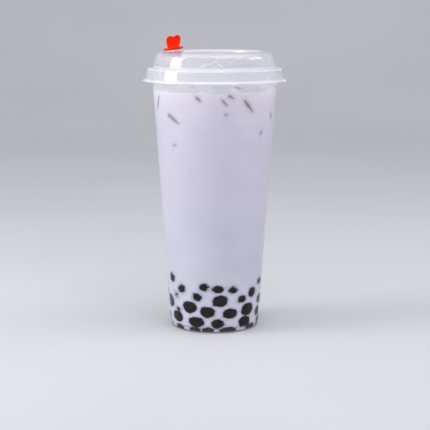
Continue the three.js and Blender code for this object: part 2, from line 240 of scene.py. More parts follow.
# The pearls that press on the front of the wall, row by row from the floor up:
# azimuth in degrees, then height, width and tallness of the pressed spot. The pitch, in
# degrees, carries each row on round the back.
PEARL_ROWS = [
    (28, [
        (-53, 2.4, 6.8, 4.2), (-27, 2.4, 7.6, 4.2), (-9, 2.4, 7.2, 4.2), (18, 2.4, 11.5, 4.2),
        (55, 2.4, 9.4, 4.2), (80, 2.4, 8.0, 4.2),
    ]),
    (29, [
        (-55, 9.7, 10.6, 7.8), (-24, 7.8, 11.6, 7.0), (4, 7.0, 8.6, 6.4), (42, 7.1, 10.0, 8.0),
        (79, 5.6, 10.0, 5.6),
    ]),
    (28, [
        (-73, 19.0, 11.5, 8.8), (-33, 17.8, 11.0, 8.3), (-9, 15.2, 10.2, 7.8), (20, 13.9, 10.2, 7.2),
        (46, 15.5, 10.7, 8.8), (70, 11.8, 7.6, 6.2),
    ]),
    (28, [
        (-55, 24.9, 3.0, 3.0), (-22, 25.5, 6.8, 6.0), (7, 23.0, 10.4, 8.0), (36, 23.3, 6.8, 5.2),
        (78, 20.0, 11.5, 7.0),
    ]),
    (28, [
        (-63, 36.2, 6.3, 5.9), (-44, 30.0, 6.6, 5.8), (-13, 32.6, 6.4, 5.6), (4, 31.2, 8.0, 5.4),
        (23, 30.4, 6.6, 5.0), (53, 26.8, 7.2, 7.0), (71, 33.0, 7.0, 4.6), (87, 27.4, 6.0, 5.0),
    ]),
]

# One small pearl in a gap between the rows, on the left, in the same terms
SMALL_PEARL = (-53, 14.5, 5.0, 3.2)

# Ice whose edges touch the wall: azimuth, height, length, width and slant in degrees of
# the sliver that shows
ICE_SLIVERS = [
    (-43, 145.0, 12.2, 2.9, -31),
    (-15, 158.5, 5.9, 2.2, -44),
    (-66, 155.5, 10.5, 1.7, 63),
    (15, 160.0, 5.0, 2.1, -28),
    (33, 154.0, 12.7, 2.7, -49),
    (9, 156.5, 6.8, 1.5, -49),
    (69, 146.0, 6.0, 1.9, -58),
    (51, 135.5, 3.4, 1.2, 60),
    (-43, 127.5, 2.8, 1.0, 20),
    (11, 148.5, 1.7, 1.3, 0),
    (22, 165.9, 6.0, 1.4, -9),
    (125, 150.0, 8.0, 2.2, 40),
    (160, 155.0, 6.0, 2.0, -20),
    (205, 147.0, 9.0, 2.4, 55),
    (240, 152.0, 6.0, 2.0, -45),
]

# Stage, in metres: the floor reaches far enough to hide the horizon, and its paper
# rises behind the cup. The lamps are listed by azimuth, elevation, distance, size and
# power in watts.
FLOOR_REACH = 40.0
PAPER_BEND_START = 1.2
PAPER_BEND = 0.9
PAPER_TOP = 3.2
LAMP_TARGET = 0.16
LAMPS = {
    "softbox_left": (-77, 22, 0.75, (0.34, 0.50), 2.6),
    "softbox_right": (89, 27, 0.80, (0.45, 0.28), 1.2),
    "overhead": (35, 62, 1.0, (0.8, 0.6), 2.4),
}
WORLD_STRENGTH = 0.78

# Camera, in millimetres and degrees
CAMERA_PLACE = (0.27, -864.2, 218.5)
CAMERA_PITCH = 9.34
CAMERA_LENS = 106.7


# A seeded draw between two values, the same as the one that placed the solids
def make_draw(seed):
    state = [seed]

    def draw(low, high):
        state[0] = (state[0] * 1664525 + 1013904223) % 4294967296
        return low + (high - low) * state[0] / 4294967296

    return draw


# Radii of the cup's wall at a height
def outer_wall(height):
    return WALL_RADIUS_AT_STEP + WALL_SLOPE * (height - STEP_HEIGHT)


def inner_wall(height):
    return outer_wall(height) - WALL


def contents_wall(height):
    """The inner surface of the cup at a height, with the foot's step and round corner."""
    height = np.asarray(height, dtype=float)
    low = np.clip((height - FLOOR_TOP) / FLOOR_CORNER_HEIGHT, 0.0, 1.0)
    corner = FLOOR_CORNER_WIDTH * (1.0 - np.sqrt(1.0 - (1.0 - low) ** 2))
    foot = FOOT_RADIUS - WALL - corner
    step = np.clip((height - STEP_START) / STEP_RISE, 0.0, 1.0)
    return foot * (1.0 - step) + inner_wall(height) * step


# Places and turns round the axis
def evenly_round(count):
    """Azimuths in radians, evenly spaced all the way round."""
    return np.linspace(0, 2 * math.pi, count, endpoint=False)


def round_place(azimuth, radius, height):
    """The place at an azimuth in degrees, a radius and a height."""
    angle = math.radians(azimuth)
    return np.array([radius * math.sin(angle), -radius * math.cos(angle), height])


def round_turn(azimuth):
    """The turn about the Z axis that takes the front to an azimuth in degrees."""
    angle = math.radians(azimuth)
    return np.array([
        [math.cos(angle), -math.sin(angle), 0],
        [math.sin(angle), math.cos(angle), 0],
        [0, 0, 1],
    ])


# Mesh building
def new_object(name, points, faces):
    mesh = bpy.data.meshes.new(name)
    mesh.from_pydata([tuple(p) for p in np.asarray(points) * MM], [], [tuple(f) for f in faces])
    mesh.validate()
    mesh.update()
    thing = bpy.data.objects.new(name, mesh)
    bpy.context.scene.collection.objects.link(thing)
    return thing


def smooth(thing, sharp_angle=40):
    thing.data.shade_smooth()
    thing.data.set_sharp_from_angle(angle=math.radians(sharp_angle))
    return thing


def rounded(corners, steps=6):
    """A profile from (radius, height, fillet) corners, with an arc at each fillet."""
    points = []
    for i, corner in enumerate(corners):
        here = Vector(corner[:2])
        fillet = corner[2] if len(corner) > 2 else 0
        if not fillet or i in (0, len(corners) - 1):
            points.append(here)
            continue
        before = (Vector(corners[i - 1][:2]) - here).normalized()
        after = (Vector(corners[i + 1][:2]) - here).normalized()
        half = before.angle(after) / 2
        reach = fillet / math.tan(half)
        start = here + before * reach
        centre = here + (before + after).normalized() * fillet / math.sin(half)
        first = start - centre
        turn = math.pi - 2 * half
        side = 1 if before.x * after.y - before.y * after.x < 0 else -1
        for k in range(steps + 1):
            angle = side * turn * k / steps
            arm = Vector((
                first.x * math.cos(angle) - first.y * math.sin(angle),
                first.x * math.sin(angle) + first.y * math.cos(angle),
            ))
            points.append(centre + arm)
    return [(p.x, p.y) for p in points]


def between(start, end, share):
    """The place at a share of the way from start to end."""
    return tuple(a + (b - a) * share for a, b in zip(start, end))


def refined(profile, longest):
    """The same profile with long stretches cut into pieces no longer than longest."""
    points = [profile[0]]
    for before, after in zip(profile, profile[1:]):
        count = max(1, math.ceil(math.dist(before, after) / longest))
        points += [between(before, after, k / count) for k in range(1, count + 1)]
    return points


def sheet_profile(middle, thickness, end_steps=5):
    """Both sides of a sheet round its middle line, with a round edge at its free end."""
    line = np.array(middle)
    along = np.gradient(line, axis=0)
    along /= np.linalg.norm(along, axis=1)[:, None]
    out = np.stack([-along[:, 1], along[:, 0]], axis=1) * thickness / 2
    out[0] = (0, math.copysign(thickness / 2, out[0][1]))
    upper = line + out
    lower = line - out
    tip = []
    for k in range(1, end_steps):
        angle = math.pi * k / end_steps
        tip.append(line[-1] + out[-1] * math.cos(angle) + along[-1] * math.sin(angle) * thickness / 2)
    return [tuple(p) for p in upper] + [tuple(p) for p in tip] + [tuple(p) for p in lower[::-1]]


def turned(name, profile, azimuths):
    """A closed body of revolution from a profile that starts and ends on the axis."""
    ring = [here for here, before in zip(profile[1:-1], profile) if math.dist(here, before) > 0.001]
    radii = np.array([p[0] for p in ring])
    heights = np.array([p[1] for p in ring])
    rows = len(ring)
    columns = len(azimuths)
    x = np.outer(np.sin(azimuths), radii)
    y = -np.outer(np.cos(azimuths), radii)
    z = np.tile(heights, (columns, 1))
    points = np.stack([x, y, z], axis=2).reshape(-1, 3)
    points = np.vstack([points, [[0, 0, profile[0][1]], [0, 0, profile[-1][1]]]])
    first, last = rows * columns, rows * columns + 1
    faces = []
    for c in range(columns):
        here, there = c * rows, ((c + 1) % columns) * rows
        faces.append((first, here, there))
        faces.extend((here + r, here + r + 1, there + r + 1, there + r) for r in range(rows - 1))
        faces.append((last, there + rows - 1, here + rows - 1))
    return new_object(name, points, faces)


def face_outwards(thing, merge_distance=0):
    """Turns all faces outwards, as glass needs, after merging points that coincide."""
    mesh = bmesh.new()
    mesh.from_mesh(thing.data)
    if merge_distance:
        bmesh.ops.remove_doubles(mesh, verts=mesh.verts, dist=merge_distance)
    bmesh.ops.recalc_face_normals(mesh, faces=mesh.faces)
    mesh.to_mesh(thing.data)
    mesh.free()
    return thing


def cut(thing, tools, operation="DIFFERENCE"):
    """Cuts tools out of a thing, or joins them to it, and removes the tools."""
    for tool in tools:
        change = thing.modifiers.new("cut", "BOOLEAN")
        change.operation = operation
        change.object = tool
        change.solver = "MANIFOLD"
    depsgraph = bpy.context.evaluated_depsgraph_get()
    done = bpy.data.meshes.new_from_object(thing.evaluated_get(depsgraph))
    thing.modifiers.clear()
    old = thing.data
    thing.data = done
    done.name = old.name
    for tool in tools:
        bpy.data.objects.remove(tool)
    return thing


# Materials
def new_material(name):
    material = bpy.data.materials.new(name)
    material.use_nodes = True
    nodes = material.node_tree.nodes
    nodes.clear()
    output = nodes.new("ShaderNodeOutputMaterial")
    shader = nodes.new("ShaderNodeBsdfPrincipled")
    material.node_tree.links.new(shader.outputs[0], output.inputs["Surface"])
    return material, nodes, material.node_tree.links, shader, output


def noise_texture(nodes, links, scale, detail=3.0, roughness=0.5):
    place = nodes.new("ShaderNodeTexCoord")
    texture = nodes.new("ShaderNodeTexNoise")
    texture.inputs["Scale"].default_value = scale
    texture.inputs["Detail"].default_value = detail
    texture.inputs["Roughness"].default_value = roughness
    links.new(place.outputs["Object"], texture.inputs["Vector"])
    return texture


def ramp(nodes, links, source, stops):
    """Colours by a source's value, from stops of (position, (red, green, blue))."""
    colours = nodes.new("ShaderNodeValToRGB")
    elements = colours.color_ramp.elements
    while len(elements) < len(stops):
        elements.new(0.5)
    for element, (position, colour) in zip(elements, stops):
        element.position = position
        element.color = (*colour, 1)
    links.new(source, colours.inputs[0])
    return colours


def colour_mix(nodes, links, source, blend="MIX"):
    """A colour mix that has the source as its first colour."""
    mix = nodes.new("ShaderNodeMix")
    mix.data_type = "RGBA"
    mix.blend_type = blend
    links.new(source, mix.inputs["A"])
    return mix


def bump(nodes, links, shader, source, strength, distance):
    relief = nodes.new("ShaderNodeBump")
    relief.inputs["Strength"].default_value = strength
    relief.inputs["Distance"].default_value = distance
    links.new(source, relief.inputs["Height"])
    links.new(relief.outputs[0], shader.inputs["Normal"])


def linear(red, green, blue):
    """A colour for a shader from red, green and blue as a screen shows them, up to 255."""
    def one(value):
        value /= 255
        return value / 12.92 if value <= 0.04045 else ((value + 0.055) / 1.055) ** 2.4
    return (one(red), one(green), one(blue))


def lamps_through(nodes, links, shader, output):
    """Lets light from the lamps pass a clear shader on its way to what lies behind."""
    path = nodes.new("ShaderNodeLightPath")
    either = nodes.new("ShaderNodeMath")
    either.operation = "MAXIMUM"
    links.new(path.outputs["Is Shadow Ray"], either.inputs[0])
    links.new(path.outputs["Is Diffuse Ray"], either.inputs[1])
    open_shader = nodes.new("ShaderNodeBsdfTransparent")
    open_shader.inputs[0].default_value = (0.93, 0.93, 0.94, 1)
    mix = nodes.new("ShaderNodeMixShader")
    links.new(either.outputs[0], mix.inputs[0])
    links.new(shader.outputs[0], mix.inputs[1])
    links.new(open_shader.outputs[0], mix.inputs[2])
    links.new(mix.outputs[0], output.inputs["Surface"])


def clouded_plastic(name, tint, ior):
    """Slightly milky plastic that lets the lamps reach what is inside it.

    The cloud attribute holds how milky each place is.
    """
    material, nodes, links, shader, output = new_material(name)
    shader.inputs["Base Color"].default_value = (*tint, 1)
    shader.inputs["IOR"].default_value = ior
    shader.inputs["Roughness"].default_value = 0.04
    patches = noise_texture(nodes, links, 60, detail=4, roughness=0.6)
    mottle = ramp(nodes, links, patches.outputs[0], [
        (0.3, (0.8, 0.8, 0.8)),
        (0.7, (1.2, 1.2, 1.2)),
    ])
    cloud = nodes.new("ShaderNodeAttribute")
    cloud.attribute_name = "cloud"
    milky = nodes.new("ShaderNodeMath")
    milky.operation = "MULTIPLY"
    links.new(cloud.outputs["Fac"], milky.inputs[0])
    links.new(mottle.outputs[0], milky.inputs[1])
    clear = nodes.new("ShaderNodeMath")
    clear.operation = "SUBTRACT"
    clear.inputs[0].default_value = 1
    links.new(milky.outputs[0], clear.inputs[1])
    links.new(clear.outputs[0], shader.inputs["Transmission Weight"])
    texture = noise_texture(nodes, links, 220, detail=2)
    bump(nodes, links, shader, texture.outputs[0], strength=0.12, distance=0.00004)
    lamps_through(nodes, links, shader, output)
    return material


def stopper_material():
    """Orange-red plastic that glows a little where it is thin."""
    material, nodes, links, shader, _ = new_material("stopper_plastic")
    texture = noise_texture(nodes, links, 160, detail=3)
    colours = ramp(nodes, links, texture.outputs[0], [
        (0.3, (1.0, 0.018, 0.0)),
        (0.7, (1.0, 0.036, 0.0)),
    ])
    links.new(colours.outputs[0], shader.inputs["Base Color"])
    shader.inputs["Roughness"].default_value = 0.25
    shader.inputs["Specular IOR Level"].default_value = 0.1
    shader.inputs["Subsurface Weight"].default_value = 0.15
    shader.inputs["Subsurface Radius"].default_value = (0.0016, 0.0005, 0.0002)
    shader.inputs["Subsurface Scale"].default_value = 1.0
    grain = noise_texture(nodes, links, 900, detail=2)
    bump(nodes, links, shader, grain.outputs[0], strength=0.15, distance=0.00005)
    return material


def brightness_by_height(nodes, links):
    """A factor on the milk's colour by height, brightest towards its level."""
    place = nodes.new("ShaderNodeTexCoord")
    axes = nodes.new("ShaderNodeSeparateXYZ")
    links.new(place.outputs["Object"], axes.inputs[0])
    share = nodes.new("ShaderNodeMath")
    share.operation = "DIVIDE"
    share.inputs[1].default_value = MILK_LEVEL * MM
    links.new(axes.outputs["Z"], share.inputs[0])
    return ramp(nodes, links, share.outputs[0], [
        (0.15, (1.02, 1.06, 1.03)),
        (0.3, (0.97, 1.0, 0.98)),
        (0.65, (1.01, 1.02, 1.01)),
        (0.85, (1.06, 1.06, 1.06)),
        (0.95, (1.14, 1.15, 1.1)),
        (1.0, (1.29, 1.29, 1.18)),
    ])


def milk_material():
    """Opaque lavender milk with pale specks, and painted shade, bluer and darker, next to pearls, ice and
    the foot's step.
    """
    material, nodes, links, shader, _ = new_material("taro_milk")
    base = noise_texture(nodes, links, 38, detail=4, roughness=0.6)
    colours = ramp(nodes, links, base.outputs[0], [
        (0.3, linear(214, 209, 226)),
        (0.7, linear(222, 217, 234)),
    ])
    fine = noise_texture(nodes, links, 620, detail=1)
    specks = ramp(nodes, links, fine.outputs[0], [
        (0.0, (0, 0, 0)),
        (0.72, (0, 0, 0)),
        (0.8, (1, 1, 1)),
    ])
    speckled = colour_mix(nodes, links, colours.outputs[0])
    speckled.inputs["B"].default_value = (*linear(240, 238, 246), 1)
    links.new(specks.outputs[0], speckled.inputs["Factor"])
    # Painted shade: the milk is mixed towards dark blue where the stored shade attribute is high
    painted_shade = nodes.new("ShaderNodeAttribute")
    painted_shade.attribute_name = "painted_shade"
    shaded = colour_mix(nodes, links, speckled.outputs["Result"])
    shaded.inputs["B"].default_value = (*linear(78, 90, 136), 1)
    links.new(painted_shade.outputs["Fac"], shaded.inputs["Factor"])
    graded = colour_mix(nodes, links, shaded.outputs["Result"], "MULTIPLY")
    graded.inputs["Factor"].default_value = 1
    links.new(brightness_by_height(nodes, links).outputs[0], graded.inputs["B"])
    links.new(graded.outputs["Result"], shader.inputs["Base Color"])
    shader.inputs["Roughness"].default_value = 0.45
    shader.inputs["Specular IOR Level"].default_value = 0.2
    texture = noise_texture(nodes, links, 120, detail=3)
    bump(nodes, links, shader, texture.outputs[0], strength=0.1, distance=0.0001)
    return material


def tapioca_material():
    """Nearly black brown with paler grain, and pale specks that are painted highlights, the glints of
    small bubbles.
    """
    material, nodes, links, shader, _ = new_material("tapioca")
    texture = noise_texture(nodes, links, 420, detail=4, roughness=0.6)
    colours = ramp(nodes, links, texture.outputs[0], [
        (0.3, linear(14, 5, 3)),
        (0.55, linear(22, 10, 6)),
        (0.68, linear(46, 31, 25)),
        (0.8, linear(112, 92, 82)),
    # The palest stop is painted highlight: glints of small bubbles on the pearls
    ])
    links.new(colours.outputs[0], shader.inputs["Base Color"])
    shader.inputs["Roughness"].default_value = 0.4
    shader.inputs["Specular IOR Level"].default_value = 0.04
    grain = noise_texture(nodes, links, 700, detail=3)
    bump(nodes, links, shader, grain.outputs[0], strength=0.2, distance=0.0001)
    return material


def ice_material():
    """Half clear, half cloudy ice with a wavy melted surface."""
    material, nodes, links, shader, output = new_material("ice")
    shader.inputs["Base Color"].default_value = (*linear(232, 230, 240), 1)
    shader.inputs["Transmission Weight"].default_value = 0.45
    shader.inputs["IOR"].default_value = 1.31
    shader.inputs["Roughness"].default_value = 0.12
    texture = noise_texture(nodes, links, 130, detail=4, roughness=0.6)
    bump(nodes, links, shader, texture.outputs[0], strength=0.5, distance=0.0006)
    lamps_through(nodes, links, shader, output)
    return material


def sunk_ice_material():
    """The grey of ice seen through the milk."""
    material, nodes, links, shader, _ = new_material("sunk_ice")
    texture = noise_texture(nodes, links, 380, detail=3)
    colours = ramp(nodes, links, texture.outputs[0], [
        (0.3, linear(146, 130, 134)),
        (0.7, linear(184, 172, 179)),
    ])
    links.new(colours.outputs[0], shader.inputs["Base Color"])
    shader.inputs["Roughness"].default_value = 0.3
    return material


# The cup: a ring foot under a recessed floor, a small step, a straight tapering wall
# and a thick rim bead
def cup_cloud(point):
    """How milky the cup is: the thick foot and the empty top are milkier than the wall."""
    height = point.z
    if height < FLOOR_TOP:
        return FOOT_CLOUD
    if height > MILK_LEVEL:
        return HEADSPACE_CLOUD * min(1, height - MILK_LEVEL)
    line = max(0, 1 - abs(height - STEP_HEIGHT) / STEP_LINE_REACH)
    below_step = max(0, 1 - (height - FLOOR_TOP) / (STEP_HEIGHT - FLOOR_TOP))
    return WALL_CLOUD + STEP_CLOUD * line + BELOW_STEP_CLOUD * below_step


def paint_cloud(piece, rule):
    """Stores how milky the plastic is at each point."""
    layer = piece.data.attributes.new("cloud", "FLOAT", "POINT")
    for vertex in piece.data.vertices:
        layer.data[vertex.index].value = rule(vertex.co / MM)


def refined_where_cloudy(profile):
    """The cup's profile with close rows at the foot and near the milk's level."""
    points = [profile[0]]
    for before, after in zip(profile, profile[1:]):
        steps = max(1, round(math.dist(before, after) / CLOSE_ROW))
        for k in range(1, steps + 1):
            radius, height = between(before, after, k / steps)
            near = height < 2 * STEP_HEIGHT or abs(height - MILK_LEVEL) < CLOSE_BAND
            if k == steps or (near and radius > FOOT_RING_INNER) or k % PLAIN_ROW == 0:
                points.append((radius, height))
    return points


def make_cup(material):
    foot_inside = FOOT_RADIUS - WALL
    corners = [
        (0, FOOT_RECESS),
        (FOOT_RING_INNER - 0.3, FOOT_RECESS, 0.3),
        (FOOT_RING_INNER + 0.2, 0, 0.2),
        (FOOT_RADIUS - 0.25, 0, 0.8),
        (FOOT_RADIUS, STEP_HEIGHT - 0.5, 0.3),
        (outer_wall(STEP_HEIGHT), STEP_HEIGHT, 0.3),
        (outer_wall(BEAD_BOTTOM), BEAD_BOTTOM, 0.4),
        (RIM_RADIUS, BEAD_BOTTOM, 0.4),
        (RIM_RADIUS, CUP_HEIGHT, 0.9),
        (inner_wall(CUP_HEIGHT), CUP_HEIGHT, 0.7),
        (inner_wall(BEAD_BOTTOM), BEAD_BOTTOM, 1.0),
        (inner_wall(STEP_HEIGHT + 0.3), STEP_HEIGHT + 0.3, 0.4),
        (foot_inside, STEP_START, 0.3),
        (foot_inside - 0.1, FLOOR_TOP, 1.2),
        (0, FLOOR_TOP),
    ]
    profile = refined_where_cloudy(rounded(corners))
    piece = turned("cup_clear", profile, evenly_round(ROUND_STEPS))
    paint_cloud(piece, cup_cloud)
    smooth(face_outwards(piece), 60)
    piece.data.materials.append(material)
    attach(piece, "root")
    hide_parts("cup")


# The lid: a sunk panel, a raised ring, a dome wall, a ledge and a flared skirt
def lid_azimuths():
    """Columns round the lid, close together at the front where the chevron is."""
    reach = FINE_COLUMNS_REACH
    fine = np.linspace(-reach, reach, FINE_COLUMNS, endpoint=False)
    rest = np.linspace(reach, 2 * math.pi - reach, PLAIN_COLUMNS, endpoint=False)
    return np.concatenate([fine, rest])


def chevron_height(azimuth, height):
    """Relief in mm of the moulded chevron at a place on the front of the dome."""
    spot = Vector((azimuth * CHEVRON_RADIUS, height))
    nearest = math.inf
    for start, end in CHEVRON_LINES:
        start, end = Vector(start), Vector(end)
        along = end - start
        share = max(0, min(1, (spot - start).dot(along) / along.length_squared))
        nearest = min(nearest, (spot - start - along * share).length)
    return RIB_RELIEF * max(0, 1 - (nearest / RIB_HALF_WIDTH) ** 2)


def rib_relief(point):
    """The chevron's relief at a point of the lid, none off the front of the dome."""
    azimuth = math.atan2(point.x, -point.y)
    on_dome = DOME_LOW < point.z < DOME_HIGH and point.xy.length > DOME_OUTSIDE
    return chevron_height(azimuth, point.z) if on_dome and abs(azimuth) < CHEVRON_REACH else 0


def edge_highlight_cloud(point):
    """What the painted highlights along the lid's edges add to its milkiness."""
    radius = point.xy.length
    for radius_from, radius_to, height_from, height_to, cloud in PAINTED_EDGE_HIGHLIGHTS:
        if radius_from < radius < radius_to and height_from < point.z < height_to:
            return cloud
    return 0


def lid_cloud(point):
    """How milky the lid is: whitest along a painted highlight down the collar's front, clearest in front
    of the collar.
    """
    across = point.x - COLLAR_X
    in_collar = math.hypot(across, point.y) < COLLAR_RADIUS + COLLAR_MARGIN
    if in_collar and point.z > PANEL_HEIGHT:
        # A painted highlight: the white stripe down the collar's front
        on_collar_highlight = abs(across) < COLLAR_HIGHLIGHT_HALF_WIDTH and point.y < COLLAR_HIGHLIGHT_FRONT
        return COLLAR_HIGHLIGHT_CLOUD if on_collar_highlight else COLLAR_CLOUD
    if abs(across) < COLLAR_RADIUS - WINDOW_INSET and point.y < 0 and point.z > WINDOW_BOTTOM:
        return WINDOW_CLOUD
    # Painted highlights along the lid's edges add to its milkiness here
    return LID_CLOUD + edge_highlight_cloud(point) + RIB_CLOUD * min(1, rib_relief(point) / RIB_RELIEF)


def finer_rib_rows(profile):
    """The lid's profile with closer rows on the outside of the dome, where the ribs are."""
    points = [profile[0]]
    for before, after in zip(profile, profile[1:]):
        low, high = sorted((before[1], after[1]))
        ribbed = low > FINE_ROWS_LOW and high < FINE_ROWS_HIGH
        outside = min(before[0], after[0]) > FINE_ROWS_OUTSIDE and before[1] > after[1]
        count = math.ceil(math.dist(before, after) / RIB_ROW_STEP) if ribbed and outside else 1
        points += [between(before, after, k / count) for k in range(1, count + 1)]
    return points


def sloped(thing):
    """Moves a piece from the Z axis into the collar, whose rim slopes up towards +X."""
    for vertex in thing.data.vertices:
        share = max(0, min(1, vertex.co.z / MM / COLLAR_HEIGHT))
        vertex.co.z += COLLAR_SLOPE * vertex.co.x * share
    thing.data.transform(Matrix.Translation((COLLAR_X * MM, 0, PANEL_HEIGHT * MM)))
    return thing


def make_lid_shell():
    """The lid without its collar, with the chevron raised on it."""
    middle = rounded([
        (0, PANEL_MIDDLE),
        (PANEL_EDGE, PANEL_MIDDLE, 1.2),
        (PLATEAU_INNER, PLATEAU_MIDDLE, 0.9),
        (PLATEAU_OUTER, PLATEAU_MIDDLE, SHOULDER_FILLET),
        (DOME_FOOT, LEDGE_MIDDLE + 0.9, 0.7),
        (LEDGE_INNER, LEDGE_MIDDLE, 0.7),
        (LEDGE_OUTER, LEDGE_MIDDLE, 1.3),
        SKIRT_BOTTOM,
        LIP,
    ], FILLET_STEPS)
    profile = finer_rib_rows(sheet_profile(refined(middle, LID_STRETCH), LID_SHEET))
    shell = turned("lid_clear", profile, lid_azimuths())
    for vertex in shell.data.vertices:
        lift = 1 + rib_relief(vertex.co / MM) / (vertex.co.xy.length / MM + 1e-6)
        vertex.co.x *= lift
        vertex.co.y *= lift
    return face_outwards(shell)


def make_lid(material):
    shell = make_lid_shell()
    collar = sloped(turned("collar", rounded([
        (0, COLLAR_ROOT),
        (COLLAR_RADIUS, COLLAR_ROOT, 0.2),
        (COLLAR_RADIUS, COLLAR_HEIGHT, 0.35),
        (0, COLLAR_HEIGHT),
    ], 4), evenly_round(COLLAR_STEPS)))
    bore = sloped(turned("bore", [
        (0, BORE_BOTTOM),
        (COLLAR_BORE, BORE_BOTTOM),
        (COLLAR_BORE, BORE_TOP),
        (0, BORE_TOP),
    ], evenly_round(COLLAR_STEPS)))
    cut(shell, [face_outwards(collar)], "UNION")
    cut(shell, [face_outwards(bore)])
    paint_cloud(shell, lid_cloud)
    shell.data.materials.clear()
    smooth(shell, 50)
    shell.data.materials.append(material)
    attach(shell, "root")
    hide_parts("lid")


# The stopper: a plug with two sealing rings, a round flange and a flat heart
def bezier(start, first, second, end, steps=10):
    """Points along a curve from its start up to, but not at, its end."""
    start, first, second, end = map(Vector, (start, first, second, end))
    points = []
    for k in range(steps):
        share = k / steps
        rest = 1 - share
        early = rest ** 3 * start + 3 * rest ** 2 * share * first
        points.append(early + 3 * rest * share ** 2 * second + share ** 3 * end)
    return points


def heart_outline():
    """One side of the heart by three curves from its foot to its notch, and its mirror."""
    side, base, top = HEART_HALF_WIDTH, HEART_HALF_BASE, HEART_HEIGHT
    lobe = side / 2
    foot, widest, peak = (base, HEART_FOOT), (side, HEART_WIDEST), (lobe, top)
    notch = (0, top - HEART_NOTCH)
    half = bezier(foot, (base, 1.5), (side, 3), widest)
    half += bezier(widest, (side, 7.2), (lobe + LOBE_HANDLE, top), peak)
    half += bezier(peak, (lobe - LOBE_HANDLE, top), (0.4, top - 0.7), notch)
    half.append(Vector(notch))
    return half + [Vector((-p.x, p.y)) for p in half[-2::-1]]


def inset_ring(outline, inset, depth):
    """The outline drawn in by an inset, at a depth."""
    count = len(outline)
    ring = []
    for i, point in enumerate(outline):
        along = outline[(i + 1) % count] - outline[i - 1]
        inward = Vector((-along.y, along.x)).normalized()
        moved = point + inward * inset
        reach = HEART_HALF_BASE - inset if point.y < 0 else HEART_HALF_WIDTH
        across = max(-reach, min(reach, moved.x))
        ring.append((across, depth, max(moved.y, HEART_FOOT + inset)))
    return ring


def make_heart():
    """The heart: a round raised border on both faces round a shallow field."""
    outline = heart_outline()
    count = len(outline)
    half = HEART_THICKNESS / 2
    edge = HEART_BORDER / 2
    field = half - HEART_FIELD_DEPTH
    steps = [
        (HEART_BORDER + 2 * HEART_FIELD_SLOPE, field),
        (HEART_BORDER + HEART_FIELD_SLOPE, field),
        (HEART_BORDER, half),
    ]
    for k in range(BORDER_STEPS + 1):
        angle = math.pi / 2 * k / BORDER_STEPS
        steps.append((edge * (1 - math.sin(angle)), half - edge + edge * math.cos(angle)))
    steps += [(inset, -depth) for inset, depth in reversed(steps)]
    rings = [inset_ring(outline, inset, depth) for inset, depth in steps]
    points = [point for ring in rings for point in ring]
    faces = []
    for r in range(len(rings) - 1):
        for i in range(count):
            j = (i + 1) % count
            faces.append((r * count + i, r * count + j, (r + 1) * count + j, (r + 1) * count + i))
    for r in (0, len(rings) - 1):
        middle = len(points)
        points.append((0, rings[r][0][1], HEART_HEIGHT / 2))
        faces.extend((r * count + i, r * count + (i + 1) % count, middle) for i in range(count))
    return face_outwards(new_object("heart", points, faces), MERGE_DISTANCE)


def make_stopper(material):
    body = turned("stopper_heart", rounded([
        (0, PLUG_FOOT),
        (PLUG_TIP_RADIUS, PLUG_FOOT, 0.4),
        (PLUG_TIP_RADIUS, LOW_RING - RING_BEVEL, 0.2),
        (RING_RADIUS, LOW_RING, 0.3),
        (RING_RADIUS, LOW_RING + RING_HEIGHT, 0.3),
        (PLUG_WAIST, LOW_RING + RING_HEIGHT + RING_BEVEL, 0.2),
        (PLUG_WAIST, HIGH_RING - RING_BEVEL, 0.2),
        (RING_RADIUS, HIGH_RING, 0.3),
        (RING_RADIUS, HIGH_RING + RING_HEIGHT, 0.2),
        (PLUG_WAIST, HIGH_RING + RING_HEIGHT + RING_BEVEL / 2, 0.1),
        (PLUG_WAIST, FLANGE_BOTTOM),
        (FLANGE_RADIUS, FLANGE_BOTTOM, 0.35),
        (FLANGE_RADIUS, FLANGE_TOP, 0.45),
        (0, FLANGE_TOP),
    ], 5), evenly_round(STOPPER_STEPS))
    face_outwards(body)
    heart = make_heart()
    heart.data.transform(Matrix.Translation((0, 0, FLANGE_TOP * MM)))
    cut(body, [heart], "UNION")
    sloped(body)
    body.data.materials.clear()
    body.data.materials.append(material)
    smooth(body, 25)
    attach(body, "root")
    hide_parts("stopper")


# The pearls
def pearl_places():
    """Every pearl: the spots listed for the front, and drawn ones round the back."""
    draw = make_draw(DRINK_SEED)
    places = []
    for row, (pitch, spots) in enumerate(PEARL_ROWS):
        on_floor = row == 0
        room = 360 + spots[0][0] - spots[-1][0]
        count = round(room / pitch) - 1
        middle = sum(spot[1] for spot in spots) / len(spots)
        places += spots
        for i in range(1, count + 1):
            azimuth = spots[-1][0] + room * i / (count + 1)
            azimuth += draw(-PEARL_AZIMUTH_SPREAD, PEARL_AZIMUTH_SPREAD)
            height = middle if on_floor else middle + draw(-PEARL_HEIGHT_SPREAD, PEARL_HEIGHT_SPREAD)
            width = draw(*PEARL_WIDTHS)
            tall = FLOOR_PEARL_TALLNESS if on_floor else width * PEARL_HEIGHT_RATIO
            places.append((azimuth, height, width, tall))
    places.append(SMALL_PEARL)
    return places


